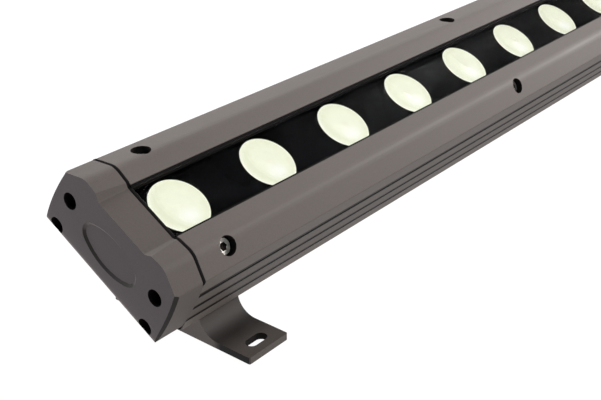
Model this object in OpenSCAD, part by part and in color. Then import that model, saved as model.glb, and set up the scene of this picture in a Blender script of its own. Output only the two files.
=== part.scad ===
// Outdoor wall washer light: a long extruded light bar that tilts on two swivel brackets.
// The bar runs along X with the seen end cap at -X. The near long side is at -Y.
// The feet stand on Z = 0 and the origin is the middle of the four mounting slots.

/* [Light bar] */
// Length of the extrusions between the two end gaskets
housing_len = 969.3; // [600:0.1:1200]
// Half width of the bar at its widest upper corner
corner_half = 34.4; // [33.6:0.1:36]
// Half width of the bar at its underside
base_half = 35.9; // [34.5:0.1:38]
// Drop from the widest corner to the underside
side_drop = 33.2; // [32.4:0.1:38]
// Half width between the two ridges
ridge_half = 24; // [22:0.1:26]
// Rise of the ridges above the widest corner
ridge_rise = 6.8; // [6:0.1:8]
// Half width of the light window
window_half = 14.4; // [14:0.1:16]
// Rise of the window edges above the widest corner
window_rise = 5.7; // [5:0.1:6.5]
// Wall of the lower extrusion
wall = 2.2; // [1.6:0.1:3]

/* [Side grooves] */
// Drop of the joint between the front rails and the housing
joint_drop = 10.15; // [9.6:0.05:11]
// Height of the open joint groove
joint_gap = 1.2; // [0.6:0.1:1.6]
// Depth of the open joint groove
joint_depth = 1.7; // [1:0.1:2.4]
// Drop of the middle groove
middle_groove_drop = 18.3; // [16:0.1:20]
// Drop of the lower groove
lower_groove_drop = 26; // [24:0.1:28]
// Height of the middle and lower grooves
fine_groove = 0.7; // [0.4:0.1:1]
// Depth of the middle and lower grooves
fine_groove_depth = 0.9; // [0.5:0.1:1.2]

/* [Window and optics] */
// Number of lenses
lens_count = 18; // [8:1:24]
// Distance from each end seam to the first lens
lens_end = 17.5; // [16:0.5:30]
// Diameter of a lens
lens_d = 27; // [20:0.1:27.4]
// Thickness of the glass cover
glass_t = 3; // [2:0.1:3.4]
// Depth of the glass below the window edge
glass_depth = 4.5; // [4:0.1:4.8]
// Half width of the glass cover
glass_half = 20; // [19:0.1:20.2]
// Thickness of the black lens plate
plate_t = 1.2; // [0.8:0.1:1.6]
// Thickness of the LED circuit board
board_t = 1.6; // [1:0.1:2]

/* [End caps] */
// Depth of a cast end cap outside its gasket
cap_depth = 15.45; // [14:0.05:20]
// Thickness of an end gasket
gasket_t = 0.7; // [0.5:0.1:1]
// Half width of the oval dish
dish_half = 16.3; // [12:0.1:18]
// Half height of the oval dish
dish_half_high = 9; // [7:0.1:10]
// Depth of the oval dish
dish_depth = 0.9; // [0.6:0.1:1.6]
// Radius of the rolled lower edge
roll_r = 6; // [4:0.1:8]
// Diameter of the counterbores for the cap screws
cap_bore_d = 7.4; // [7.2:0.1:8]

/* [Screws] */
// Number of screws in each front rail
rail_screw_count = 5; // [3:1:8]
// Distance from each end seam to the first rail screw
rail_screw_end = 17.5; // [16:0.5:30]
// Thread diameter of the rail, cap and block screws
screw_d = 4; // [3.5:0.1:4]
// Head diameter of the socket screws
screw_head_d = 7; // [6.5:0.1:7]
// Diameter of the counterbores in the sloped flanges
rail_bore_d = 8.5; // [7.4:0.1:9]
// Depth of the counterbores in the sloped flanges
rail_bore_depth = 7; // [5:0.1:7.4]

/* [Brackets] */
// Tilt of the bar about its hinges
tilt = 30.75; // [28:0.25:32]
// Height of the hinge axis above the mounting surface
hinge_height = 23.7; // [23:0.1:25]
// Distance from the middle of the slots back to the hinge axis
hinge_back = 19.5; // [17:0.1:21]
// Drop of the hinge axis below the underside of the bar
hinge_drop = 7.9; // [7.7:0.1:8.6]
// Distance from each end seam to the middle of its bracket
bracket_end = 25.5; // [22.5:0.5:80]
// Width of a bracket along the bar
bracket_w = 24; // [23.6:0.1:27]
// Thickness of the bracket feet
foot_t = 3.2; // [2.4:0.1:4]
// Distance from the middle of the slots to the front edge of the foot
foot_front = 41; // [39.5:0.1:45]
// Distance from the middle of the slots to the rear edge of the foot
foot_rear = 39.7; // [39:0.1:42]
// Radius of the hollow sweep from foot to wall
sweep_r = 9.8; // [8:0.1:10.5]
// Distance between the front and rear slots
slot_spacing = 68; // [66:0.1:70]
// Length of a mounting slot
slot_len = 11.3; // [8:0.1:14]
// Width of a mounting slot
slot_w = 5.5; // [4.2:0.1:6]
// Diameter of the hinge bolts
hinge_bolt_d = 5; // [4:0.1:5.2]

/* [Cable gland] */
// Diameter of the gland thread
gland_thread_d = 12; // [10:0.1:12.4]
// Bore of the gland seal for the cable
cable_d = 6.6; // [4:0.1:7.2]
// Width across the flats of the gland hexagons
gland_flats = 15; // [14:0.1:16]

/* [Hidden] */

// Smooth round surfaces
$fn = 96;
// Overrun of every cut past the face that it opens
over = 1;
// Running clearance of a screw in its plain hole, on the radius
hole_gap = 0.15;
// Clearance round pieces that lie loose in a seat
seat_gap = 0.3;

// Places along the bar
seam = housing_len / 2 + gasket_t / 2;
lens_pitch = (2 * seam - 2 * lens_end) / (lens_count - 1);
rail_screw_pitch = (2 * seam - 2 * rail_screw_end) / (rail_screw_count - 1);
bracket_x = seam - bracket_end;

// Slope of the flanges
flange_angle = atan(ridge_rise / (corner_half - ridge_half));
// Slope of the facets between ridge and window
facet_slope = (ridge_rise - window_rise) / (ridge_half - window_half);

// Rounding of the outer corner, the ridge and the window edge
corner_round = 0.8;
ridge_round = 8;
window_round = 0.35;

// Window stack: glass, gaskets and lens plate
glass_top = window_rise - glass_depth;
glass_gasket_t = 0.5;
glass_gasket_show = 0.7;
lip_under = glass_top + glass_gasket_t;
glass_bottom = glass_top - glass_t;
upstand_top = glass_bottom - glass_gasket_t;
glass_pocket_gap = 0.5;
glass_pocket_half = glass_half + glass_pocket_gap;
rebate_under = 0.5;
rebate_top = window_rise - rebate_under;
rebate_high = 0.8;
rebate_depth = 0.8;
plate_gap = 0.15;
plate_top = glass_bottom - plate_gap;
plate_bottom = plate_top - plate_t;
upstand_past = 0.2;
upstand_half = glass_half + upstand_past;
upstand_in = 2.5;
upstand_inner = glass_half - upstand_in;
plate_half = upstand_inner - seat_gap;
plate_ledge = 1.5;
lens_hole_gap = 0.15;

// Rail and its seat on the housing
rail_under = -4.7;
leg_t = 3.9;
leg_inner = side_half(joint_drop) - leg_t;
joint_inner = side_half(joint_drop) - joint_depth;

// Rib that takes the slanted rail screws
rib_past = 2.5;
rib_outer = glass_half + rib_past;
rib_inner = 14.8;
rib_bottom = -13.9;
shelf_wall_inner = rib_outer - wall;

// Shelf that carries the LED board
shelf_top = -17;
shelf_t = 2.5;
shelf_bottom = shelf_top - shelf_t;
board_top = shelf_top + board_t;
board_half = 17;
board_end_gap = 3;

// Slot for nuts along the underside
nut_slot_mouth = 6;
nut_slot_w = 10.5;
nut_slot_lip = 2.2;
nut_slot_high = 3.6;
nut_slot_wall = 1.7;
floor_t = 2.6;

// Bosses for the cap screws, shared by housing, gaskets and caps
boss_r = 4;
boss_upper = [26.5, -9.5];
boss_lower = [28.4, -27.5];
bosses = [boss_upper, boss_lower, [-boss_upper[0], boss_upper[1]], [-boss_lower[0], boss_lower[1]]];
boss_web = 2;

// Screw heads and sockets
screw_head_h = 4;
screw_socket = 3.4;
screw_socket_depth = 2.2;
rail_screw_len = 10;
cap_screw_len = 16;
cap_screw_seat = 5;

// Place of the rail screws on the sloped flange
rail_screw_share = 0.66;
rail_screw_u = ridge_half + (corner_half - ridge_half) * (1 - rail_screw_share);
rail_screw_v = ridge_rise * rail_screw_share;

// Cap form
cap_side_r = 113;
cap_side_bulge = 0.85;
cap_side_half = (corner_half + base_half) / 2 + cap_side_bulge;
cap_side_drop = 19;
cap_corner_r = 4.5;
cap_bevel_long = 2;
cap_bevel_side = 0.9;
cap_side_steps = 8;
cap_corner_round = 1.4;
lead_r = 170;
lead_drop = 14;
roll_back = sqrt(pow(lead_r - roll_r, 2) - pow(side_drop - lead_drop - roll_r, 2));
roll_x = cap_depth - lead_r + roll_back;
roll_meet = lead_drop + (side_drop - lead_drop - roll_r) * lead_r / (lead_r - roll_r);
channel_half = 14;
channel_seam_rise = 4.5;
channel_end_rise = 3.5;
channel_flare = 1.2;
channel_fillet = 1.4;
dish_drop = 13.5;
dish_wall = 1.3;
dish_end_r = dish_half_high * 2 / 3;
dish_end_u = dish_half - dish_end_r;
dish_arc_r = (pow(dish_end_u, 2) + pow(dish_half_high, 2) - pow(dish_end_r, 2))
    / (2 * (dish_half_high - dish_end_r));
pocket_half = 19.5;
pocket_top = 0.3;
pocket_bottom = -27;
pocket_depth = 8.5;
gasket_inset = 0.5;

// Gland on the hidden end
gland_spot_r = 9.2;
gland_spot_depth = 0.1;
gland_seat = cap_depth - dish_depth - gland_spot_depth;
gland_flange_t = 4;
gland_barrel_len = 9;
gland_barrel_r = 6.2;
gland_nut_len = 11;
gland_nut_gap = 0.6;
gland_lock_t = 3;
gland_hole_gap = 0.1;
gland_seal_len = 12;
gland_seal_r = 4.6;
gland_bore_r = 3.9;
gland_nut_share = 0.6;
gland_tip = 1.4;

// Hinge
axis_r = 5.2;
knuckle_w = 12;
ear_w = 5;
ear_gap = 0.3;
hinge_gap = 0.05;
ear_outer = knuckle_w / 2 + ear_gap + ear_w;
block_t = 2.3;
block_half = 12;
block_len = 44;
block_screw_x = 16.5;
block_screw_len = 7.8;
block_sink_gap = 0.05;
washer_t = 1;
washer_r = 4.9;
bolt_head_h = 4.2;
bolt_head_r = 4.25;
bolt_socket = 4.6;
bolt_past = 1.5;
nut_t = 4.7;
nut_flats = 8;
block_socket_share = 0.72;
block_socket_deep = 0.3;
slot_nut_t = 3;
slot_nut_w = 10;

// Bracket form, measured from the hinge axis
stop_gap = 0.3;
ramp_dist = hinge_drop - stop_gap;
ramp_past = 1;
ramp_end = block_half + ramp_past;
ramp_top_y = -ramp_end * cos(tilt) - ramp_dist * sin(tilt);
ramp_top_z = hinge_height - ramp_end * sin(tilt) + ramp_dist * cos(tilt);
wall_y = -32.5;
wall_z = hinge_height + ramp_dist / cos(tilt) + wall_y * tan(tilt);
saddle_top = 17;
saddle_rear = 6.5;
rear_fillet = 3;
bracket_corner_r = 0.8;
window_front_y = -24;
window_rear_y = -18;
bracket_wall = 3;

// LED and driver pieces
led_w = 3.5;
led_t = 0.8;
led_dome_r = 1.4;
lens_flange_t = 1.5;
lens_foot_r = 5.5;
lens_cup_r = 3.2;
lens_cup_depth = 6;
lens_neck_share = 0.933;
lens_belly_share = 1.12;
lens_gap = 0.05;
lens_top = glass_bottom - lens_gap;
driver_len = 240;
driver_end_gap = 64.65;
driver_x = housing_len / 2 - driver_end_gap - driver_len / 2;
driver_half = 22;
driver_t = 1.6;
standoff_t = 1.6;
standoff_r = 2.8;
driver_top = shelf_bottom - standoff_t;
driver_under = driver_top - driver_t;
coil_len = 24;
coil_w = 11;
coil_t = 5.2;
capacitor_r = 3.6;
capacitor_len = 18;
terminal_len = 10;
terminal_w = 12;
terminal_t = 6;
part_row_share = 0.66;
coil_share = -0.2;
capacitor_shares = [0.05, 0.19];
terminal_share = 0.45;

// Half width of the side at a given drop below the widest corner
function side_half(drop) = corner_half + (base_half - corner_half) * drop / side_drop;

// Points of a rounded corner at b between the edges to a and c
function soft(a, b, c, r, n = 4) =
    let (p = (a - b) / norm(a - b))
    let (q = (c - b) / norm(c - b))
    let (half = acos(p * q) / 2)
    let (m = b + (p + q) / norm(p + q) * r / sin(half))
    let (s = b + p * r / tan(half) - m)
    let (e = b + q * r / tan(half) - m)
    let (turn = (s[0] * e[1] - s[1] * e[0]) > 0 ? 180 - 2 * half : 2 * half - 180)
    [for (i = [0:n]) let (g = turn * i / n)
        [m[0] + s[0] * cos(g) - s[1] * sin(g), m[1] + s[0] * sin(g) + s[1] * cos(g)]];

// A half outline and its mirror image as one closed outline
function both(half) = concat(half, [for (i = [len(half) - 1:-1:0]) [-half[i][0], half[i][1]]]);

// Puts the tilted bar on its hinge axis
module place_bar() {
    translate([0, hinge_back, hinge_height])
        rotate([tilt, 0, 0])
            translate([0, 0, side_drop + hinge_drop])
                children();
}

// Extrudes a section of the bar along X, centred
module along_bar(length) {
    rotate([90, 0, 90])
        linear_extrude(height = length, center = true)
            children();
}

// Extrudes a section from x = 0 outwards
module outwards(length) {
    rotate([90, 0, 90])
        linear_extrude(height = length)
            children();
}

// A cylinder along X that starts at x = 0
module rod(r, length) {
    rotate([0, 90, 0])
        cylinder(r = r, h = length);
}

// A hexagonal bar along X that starts at x = 0, given across its flats
module hexagon(flats, length) {
    rotate([0, 90, 0])
        cylinder(d = flats / cos(30), h = length, $fn = 6);
}

// Socket head screw along X with its seat at x = 0 and the shank at +X
module socket_screw(d, length, head_r, head_h, socket, depth) {
    difference() {
        union() {
            rod(d / 2, length);
            translate([-head_h, 0, 0])
                rod(head_r, head_h);
        }
        translate([-head_h - over, 0, 0])
            hexagon(socket, depth + over);
    }
}

// Outer section of one front rail, on the +Y side
module rail_section() {
    corner = [corner_half, 0];
    ridge = [ridge_half, ridge_rise];
    edge = [window_half, window_rise];
    foot = [side_half(joint_drop - joint_gap / 2), -joint_drop + joint_gap / 2];
    under_edge = [window_half, rebate_top];
    polygon(concat(
        soft(foot, corner, ridge, corner_round),
        soft(corner, ridge, edge, ridge_round),
        soft(ridge, edge, under_edge, window_round / 2),
        [
            under_edge,
            [window_half + rebate_depth, rebate_top],
            [window_half + rebate_depth, rebate_top - rebate_high],
            [window_half, rebate_top - rebate_high],
            [window_half, lip_under],
            [glass_pocket_half, lip_under],
            [glass_pocket_half, rail_under],
            [leg_inner, rail_under],
            [leg_inner, -joint_drop],
            [joint_inner, -joint_drop],
            [joint_inner, -joint_drop + joint_gap / 2],
            foot
        ]
    ));
}

// Frame of a rail screw: x along the bar, the local Z axis out of the flange
module on_flange(i) {
    translate([-seam + rail_screw_end + i * rail_screw_pitch, rail_screw_u, rail_screw_v])
        rotate([-flange_angle, 0, 0])
            children();
}

module front_rail() {
    difference() {
        along_bar(housing_len)
            rail_section();
        for (i = [0:rail_screw_count - 1])
            on_flange(i) {
                translate([0, 0, -rail_bore_depth])
                    cylinder(d = rail_bore_d, h = rail_bore_depth + over);
                translate([0, 0, -rail_bore_depth - rail_screw_len])
                    cylinder(r = screw_d / 2 + hole_gap, h = rail_screw_len + over);
            }
    }
}

module rail_screws() {
    for (i = [0:rail_screw_count - 1])
        on_flange(i)
            translate([0, 0, -rail_bore_depth])
                rotate([0, 90, 0])
                    socket_screw(screw_d, rail_screw_len, screw_head_d / 2, screw_head_h,
                        screw_socket, screw_socket_depth);
}

module front_rail_far() {
    color([0.47, 0.45, 0.43])
        place_bar()
            front_rail();
}

module front_rail_near() {
    color([0.47, 0.45, 0.43])
        place_bar()
            mirror([0, 1, 0])
                front_rail();
}

module rail_screws_far() {
    color("silver")
        place_bar()
            rail_screws();
}

module rail_screws_near() {
    color("silver")
        place_bar()
            mirror([0, 1, 0])
                rail_screws();
}

// Outer section of the lower extrusion with its side grooves
module housing_outline() {
    joint_low = joint_drop + joint_gap / 2;
    difference() {
        polygon(both([
            [side_half(side_drop) - corner_round, -side_drop],
            [side_half(side_drop - corner_round), -side_drop + corner_round],
            [side_half(joint_low), -joint_low],
            [joint_inner, -joint_low],
            [joint_inner, -joint_drop],
            [rib_outer, -joint_drop],
            [rib_outer, rail_under],
            [upstand_half, rail_under],
            [upstand_half, upstand_top],
            [upstand_inner, upstand_top],
            [upstand_inner, plate_bottom],
            [upstand_inner - plate_ledge, plate_bottom],
            [rib_inner, rail_under - plate_ledge],
            [rib_inner, rib_bottom],
            [shelf_wall_inner, rib_bottom],
            [shelf_wall_inner, shelf_top]
        ]));
        for (drop = [middle_groove_drop, lower_groove_drop])
            for (side = [-1, 1])
                translate([side * (side_half(drop) - fine_groove_depth + base_half / 2), -drop])
                    square([base_half, fine_groove], center = true);
    }
}

// Chamber above the floor for the driver, and the two flat side chambers
module housing_chambers() {
    bump = nut_slot_w / 2 + nut_slot_wall;
    bump_top = -side_drop + nut_slot_lip + nut_slot_high + nut_slot_wall;
    polygon(both([
        [bump, bump_top],
        [bump, -side_drop + floor_t],
        [side_half(side_drop) - wall, -side_drop + floor_t],
        [side_half(-shelf_bottom) - wall, shelf_bottom]
    ]));
    for (side = [0, 1])
        mirror([side, 0])
            polygon([
                [rib_outer, -joint_drop - wall],
                [side_half(joint_drop + wall) - wall, -joint_drop - wall],
                [side_half(-shelf_top) - wall, shelf_top],
                [rib_outer, shelf_top]
            ]);
}

module nut_slot() {
    translate([-nut_slot_mouth / 2, -side_drop - over])
        square([nut_slot_mouth, nut_slot_lip + 2 * over]);
    translate([-nut_slot_w / 2, -side_drop + nut_slot_lip])
        square([nut_slot_w, nut_slot_high]);
}

module housing_section() {
    difference() {
        union() {
            difference() {
                housing_outline();
                housing_chambers();
            }
            for (p = bosses)
                translate(p)
                    circle(r = boss_r);
            for (side = [0, 1])
                mirror([side, 0]) {
                    translate([boss_lower[0], floor_t / 2 - side_drop])
                        square([
                            side_half(-boss_lower[1]) - wall / 2 - boss_lower[0],
                            side_drop - floor_t / 2 + boss_lower[1] + boss_web / 2
                        ]);
                    translate([rib_outer - wall / 2, -joint_drop - wall / 2])
                        square([
                            boss_upper[0] - rib_outer + wall / 2,
                            joint_drop + wall / 2 + boss_upper[1] + boss_web / 2
                        ]);
                }
        }
        for (p = bosses)
            translate(p)
                circle(r = screw_d / 2 + hole_gap);
        nut_slot();
    }
}

module housing() {
    color([0.36, 0.34, 0.32])
        place_bar()
            difference() {
                along_bar(housing_len)
                    housing_section();
                for (side = [0, 1])
                    mirror([0, side, 0])
                        for (i = [0:rail_screw_count - 1])
                            on_flange(i)
                                translate([0, 0, -rail_bore_depth - rail_screw_len - hole_gap])
                                    cylinder(r = screw_d / 2 + hole_gap, h = rail_screw_len);
            }
}

module glass_cover() {
    color([0.7, 0.78, 0.78, 0.35])
        place_bar()
            translate([0, 0, glass_bottom + glass_t / 2])
                cube([housing_len, 2 * glass_half, glass_t], center = true);
}

module glass_gaskets() {
    color([0.05, 0.05, 0.05])
        place_bar()
            for (side = [0, 1])
                mirror([0, side, 0]) {
                    along_bar(housing_len)
                        translate([window_half - glass_gasket_show, glass_top])
                            square([glass_half - window_half + glass_gasket_show, glass_gasket_t]);
                    along_bar(housing_len)
                        translate([upstand_inner, upstand_top])
                            square([glass_half - upstand_inner, glass_gasket_t]);
                }
}

// Repeats its child at each lens
module each_lens() {
    for (i = [0:lens_count - 1])
        translate([-seam + lens_end + i * lens_pitch, 0, 0])
            children();
}

module lens_plate() {
    color([0.04, 0.04, 0.045])
        place_bar()
            difference() {
                translate([0, 0, (plate_top + plate_bottom) / 2])
                    cube([housing_len, 2 * plate_half, plate_t], center = true);
                each_lens()
                    translate([0, 0, plate_bottom - over])
                        cylinder(r = lens_d / 2 + lens_hole_gap, h = plate_t + 2 * over);
            }
}

// One collimator lens: a flat front disc on a tapered body with a cup over the LED
module lens() {
    neck_r = lens_d / 2 * lens_neck_share;
    rotate_extrude()
        polygon([
            [0, lens_top],
            [lens_d / 2, lens_top],
            [lens_d / 2, lens_top - lens_flange_t],
            [neck_r, lens_top - lens_flange_t],
            [(neck_r + lens_foot_r) / 2 * lens_belly_share, (lens_top + board_top) / 2],
            [lens_foot_r, board_top],
            [lens_cup_r, board_top],
            [lens_cup_r, board_top + lens_cup_depth],
            [0, board_top + lens_cup_depth + lens_cup_r / 3]
        ]);
}

module lenses() {
    color([0.93, 0.95, 0.87])
        place_bar()
            each_lens()
                lens();
}

module led_board() {
    color([0.9, 0.9, 0.88])
        place_bar()
            translate([0, 0, shelf_top + board_t / 2])
                cube([housing_len - 2 * board_end_gap, 2 * board_half, board_t], center = true);
}

module leds() {
    color([0.95, 0.85, 0.4])
        place_bar()
            each_lens() {
                translate([0, 0, board_top + led_t / 2])
                    cube([led_w, led_w, led_t], center = true);
                translate([0, 0, board_top + led_t])
                    intersection() {
                        sphere(r = led_dome_r);
                        cylinder(r = led_w, h = led_w);
                    }
            }
}

module driver_board() {
    color([0.1, 0.35, 0.2])
        place_bar()
            translate([driver_x, 0, driver_under + driver_t / 2])
                cube([driver_len, 2 * driver_half, driver_t], center = true);
}

// Six spacers between the shelf and the driver board
module driver_standoffs() {
    color("silver")
        place_bar()
            for (i = [-1, 0, 1])
                for (side = [-1, 1])
                    translate([
                        driver_x + i * (driver_len / 2 - 2 * standoff_r),
                        side * (driver_half - 2 * standoff_r),
                        driver_top
                    ])
                        cylinder(r = standoff_r, h = standoff_t);
}

// Two transformers, four capacitors and a terminal block under the driver board
module driver_parts() {
    part_y = driver_half * part_row_share;
    color([0.15, 0.15, 0.17])
        place_bar() {
            for (side = [-1, 1])
                translate([driver_x + driver_len * coil_share, side * part_y, driver_under - coil_t / 2])
                    cube([coil_len, coil_w, coil_t], center = true);
            for (side = [-1, 1])
                for (share = capacitor_shares)
                    translate([
                        driver_x + driver_len * share,
                        side * part_y,
                        driver_under - capacitor_r
                    ])
                        rod(capacitor_r, capacitor_len);
            translate([driver_x + driver_len * terminal_share, part_y, driver_under - terminal_t / 2])
                cube([terminal_len, terminal_w, terminal_t], center = true);
        }
}

// Half width of the slightly bulged side of a cap at a given drop
function cap_side(drop) =
    cap_side_half - cap_side_r + sqrt(pow(cap_side_r, 2) - pow(drop - cap_side_drop, 2));

// Outline of an end cap seen along the bar, without its channel
module cap_section() {
    start = [channel_half, ridge_rise - facet_slope * (ridge_half - channel_half)];
    ridge = [ridge_half, ridge_rise];
    corner = [corner_half, 0];
    bulge = [for (i = [1:cap_side_steps]) let (drop = side_drop * i / cap_side_steps) [cap_side(drop), -drop]];
    last = cap_side_steps - 1;
    polygon(both(concat(
        [start],
        soft(start, ridge, corner, ridge_round),
        soft(ridge, corner, bulge[0], cap_corner_round),
        [for (i = [0:last - 1]) bulge[i]],
        soft(bulge[last - 1], bulge[last], [0, -side_drop], cap_corner_r)
    )));
}

// Channel that runs out of the light window and deepens a little towards the end
module channel() {
    deep = channel_seam_rise - channel_end_rise;
    high = ridge_rise - channel_end_rise;
    translate([0, 0, channel_seam_rise])
        rotate([0, atan(deep / cap_depth), 0])
            translate([-over, 0, 0])
                outwards(cap_depth + 3 * over)
                    polygon(both(concat(
                        soft([0, 0], [channel_half, 0], [channel_half + high * channel_flare, high], channel_fillet),
                        [[channel_half + high * channel_flare, high]]
                    )));
}

// Side view of an end cap: flat face, slow lead-in and rolled lower edge
module cap_side_view() {
    top = ridge_rise + over;
    translate([0, -lead_drop])
        square([cap_depth, lead_drop + top]);
    intersection() {
        translate([cap_depth - lead_r, -lead_drop])
            circle(r = lead_r, $fn = 360);
        translate([0, -roll_meet])
            square([cap_depth, roll_meet - lead_drop]);
    }
    translate([roll_x, -side_drop + roll_r])
        circle(r = roll_r);
    translate([0, -side_drop])
        square([roll_x, side_drop - lead_drop]);
}

// Space inside the bevel along one outer corner: it follows the bulge of the side
module inside_bevel() {
    lean = atan(cap_bevel_side / cap_bevel_long);
    bulge = [
        for (i = [0:cap_side_steps])
            let (drop = side_drop * i / cap_side_steps)
            [cap_side(drop) * cos(lean), -drop]
    ];
    translate([cap_depth - cap_bevel_long, 0, 0])
        rotate([0, 0, -lean])
            translate([-2 * cap_side_half, 0, 0])
                outwards(3 * cap_side_half)
                    polygon(concat(
                        [[-2 * cap_side_half, ridge_rise + over], [bulge[0][0], ridge_rise + over]],
                        bulge,
                        [[bulge[cap_side_steps][0], -side_drop - over], [-2 * cap_side_half, -side_drop - over]]
                    ));
}

// Oval of four arcs, drawn in by the given inset
module oval(inset) {
    meet = dish_end_u * (dish_arc_r - inset) / (dish_arc_r - dish_end_r);
    intersection() {
        translate([-meet, -dish_half_high])
            square([2 * meet, 2 * dish_half_high]);
        translate([0, dish_half_high - dish_arc_r])
            circle(r = dish_arc_r - inset, $fn = 180);
        translate([0, dish_arc_r - dish_half_high])
            circle(r = dish_arc_r - inset, $fn = 180);
    }
    for (side = [-1, 1])
        translate([side * dish_end_u, 0])
            circle(r = dish_end_r - inset, $fn = 32);
}

// Shallow oval dish with a flat floor and a sloping wall
module dish() {
    flat = dish_wall / 8;
    translate([cap_depth - dish_depth, 0, -dish_drop])
        hull() {
            outwards(flat)
                oval(dish_wall);
            translate([dish_depth - flat, 0, 0])
                outwards(2 * flat)
                    oval(0);
        }
}

// End cap with the gasket face at x = 0 and the outer face at x = cap_depth
module end_cap() {
    difference() {
        intersection() {
            outwards(cap_depth)
                cap_section();
            rotate([90, 0, 0])
                linear_extrude(height = 3 * cap_side_half, center = true)
                    cap_side_view();
            inside_bevel();
            mirror([0, 1, 0])
                inside_bevel();
        }
        channel();
        dish();
        for (p = bosses)
            translate([0, p[0], p[1]]) {
                translate([-over, 0, 0])
                    rod(screw_d / 2 + hole_gap, cap_depth);
                translate([cap_screw_seat, 0, 0])
                    rod(cap_bore_d / 2, cap_depth);
            }
        translate([-over, -pocket_half, pocket_bottom])
            cube([pocket_depth + over, 2 * pocket_half, pocket_top - pocket_bottom]);
    }
}

// Puts a piece of the right end at its gasket face
module at_right_end() {
    place_bar()
        translate([housing_len / 2 + gasket_t, 0, 0])
            children();
}

module at_left_end() {
    place_bar()
        mirror([1, 0, 0])
            translate([housing_len / 2 + gasket_t, 0, 0])
                children();
}

module end_cap_left() {
    color([0.42, 0.4, 0.38])
        at_left_end()
            end_cap();
}

module end_cap_right() {
    color([0.42, 0.4, 0.38])
        at_right_end()
            difference() {
                end_cap();
                translate([gland_seat, 0, -dish_drop])
                    rod(gland_spot_r, cap_depth);
                translate([0, 0, -dish_drop])
                    rod(gland_thread_d / 2 + gland_hole_gap, cap_depth);
            }
}

// Flat gasket, drawn a little inside the outline of the bar
module end_gasket() {
    corner = [corner_half - gasket_inset, -gasket_inset / 2];
    edge = [window_half + gasket_inset, window_rise - gasket_inset];
    difference() {
        translate([-gasket_t, 0, 0])
            outwards(gasket_t)
                difference() {
                    polygon(both(concat(
                        [
                            [base_half - gasket_inset - corner_round, -side_drop + gasket_inset],
                            [base_half - gasket_inset, -side_drop + gasket_inset + corner_round],
                            corner
                        ],
                        soft(corner, [ridge_half, ridge_rise - gasket_inset], edge, ridge_round),
                        [edge, [window_half, channel_seam_rise - gasket_inset]]
                    )));
                    translate([-pocket_half, pocket_bottom])
                        square([2 * pocket_half, pocket_top - pocket_bottom]);
                    for (p = bosses)
                        translate(p)
                            circle(r = screw_d / 2 + hole_gap);
                }
    }
}

module end_gasket_left() {
    color([0.06, 0.06, 0.06])
        at_left_end()
            end_gasket();
}

module end_gasket_right() {
    color([0.06, 0.06, 0.06])
        at_right_end()
            end_gasket();
}

module cap_screws() {
    for (p = bosses)
        translate([cap_screw_seat, p[0], p[1]])
            mirror([1, 0, 0])
                socket_screw(screw_d, cap_screw_len, screw_head_d / 2, screw_head_h,
                    screw_socket, screw_socket_depth);
}

module cap_screws_left() {
    color([0.3, 0.3, 0.3])
        at_left_end()
            cap_screws();
}

module cap_screws_right() {
    color([0.3, 0.3, 0.3])
        at_right_end()
            cap_screws();
}

// Places a gland piece at the seat of the gland, x outwards
module at_gland() {
    at_right_end()
        translate([gland_seat, 0, -dish_drop])
            children();
}

module gland_body() {
    inner_len = gland_seat - pocket_depth + gland_lock_t + bolt_past;
    color([0.12, 0.12, 0.12])
        at_gland()
            difference() {
                union() {
                    hexagon(gland_flats, gland_flange_t);
                    rod(gland_barrel_r, gland_flange_t + gland_barrel_len);
                    translate([-inner_len, 0, 0])
                        rod(gland_thread_d / 2, inner_len);
                }
                translate([-inner_len - over, 0, 0])
                    rod(gland_bore_r, inner_len + gland_flange_t + over);
                translate([gland_flange_t - over, 0, 0])
                    rod(gland_seal_r, gland_barrel_len + 2 * over);
            }
}

module gland_nut() {
    bore = gland_barrel_r + gland_hole_gap;
    start = gland_flange_t + gland_nut_gap;
    color([0.12, 0.12, 0.12])
        at_gland()
            difference() {
                union() {
                    translate([start, 0, 0])
                        hexagon(gland_flats, gland_nut_len * gland_nut_share);
                    translate([start, 0, 0])
                        rotate([0, 90, 0])
                            cylinder(r1 = gland_flats / 2, r2 = gland_seal_r + gland_tip, h = gland_nut_len);
                }
                translate([start - over, 0, 0])
                    rod(bore, gland_barrel_len - gland_nut_gap + over + hole_gap);
                translate([start, 0, 0])
                    rod(gland_seal_r + gland_hole_gap, gland_nut_len + over);
            }
}

module gland_seal() {
    color([0.2, 0.2, 0.2])
        at_gland()
            translate([gland_flange_t - over, 0, 0])
                difference() {
                    rod(gland_seal_r, gland_seal_len);
                    translate([-over, 0, 0])
                        rod(cable_d / 2, gland_seal_len + 2 * over);
                }
}

module gland_lock_nut() {
    color("silver")
        at_gland()
            translate([pocket_depth - gland_seat - gland_lock_t, 0, 0])
                difference() {
                    hexagon(gland_flats, gland_lock_t);
                    translate([-over, 0, 0])
                        rod(gland_thread_d / 2 + gland_hole_gap, gland_lock_t + 2 * over);
                }
}

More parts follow.
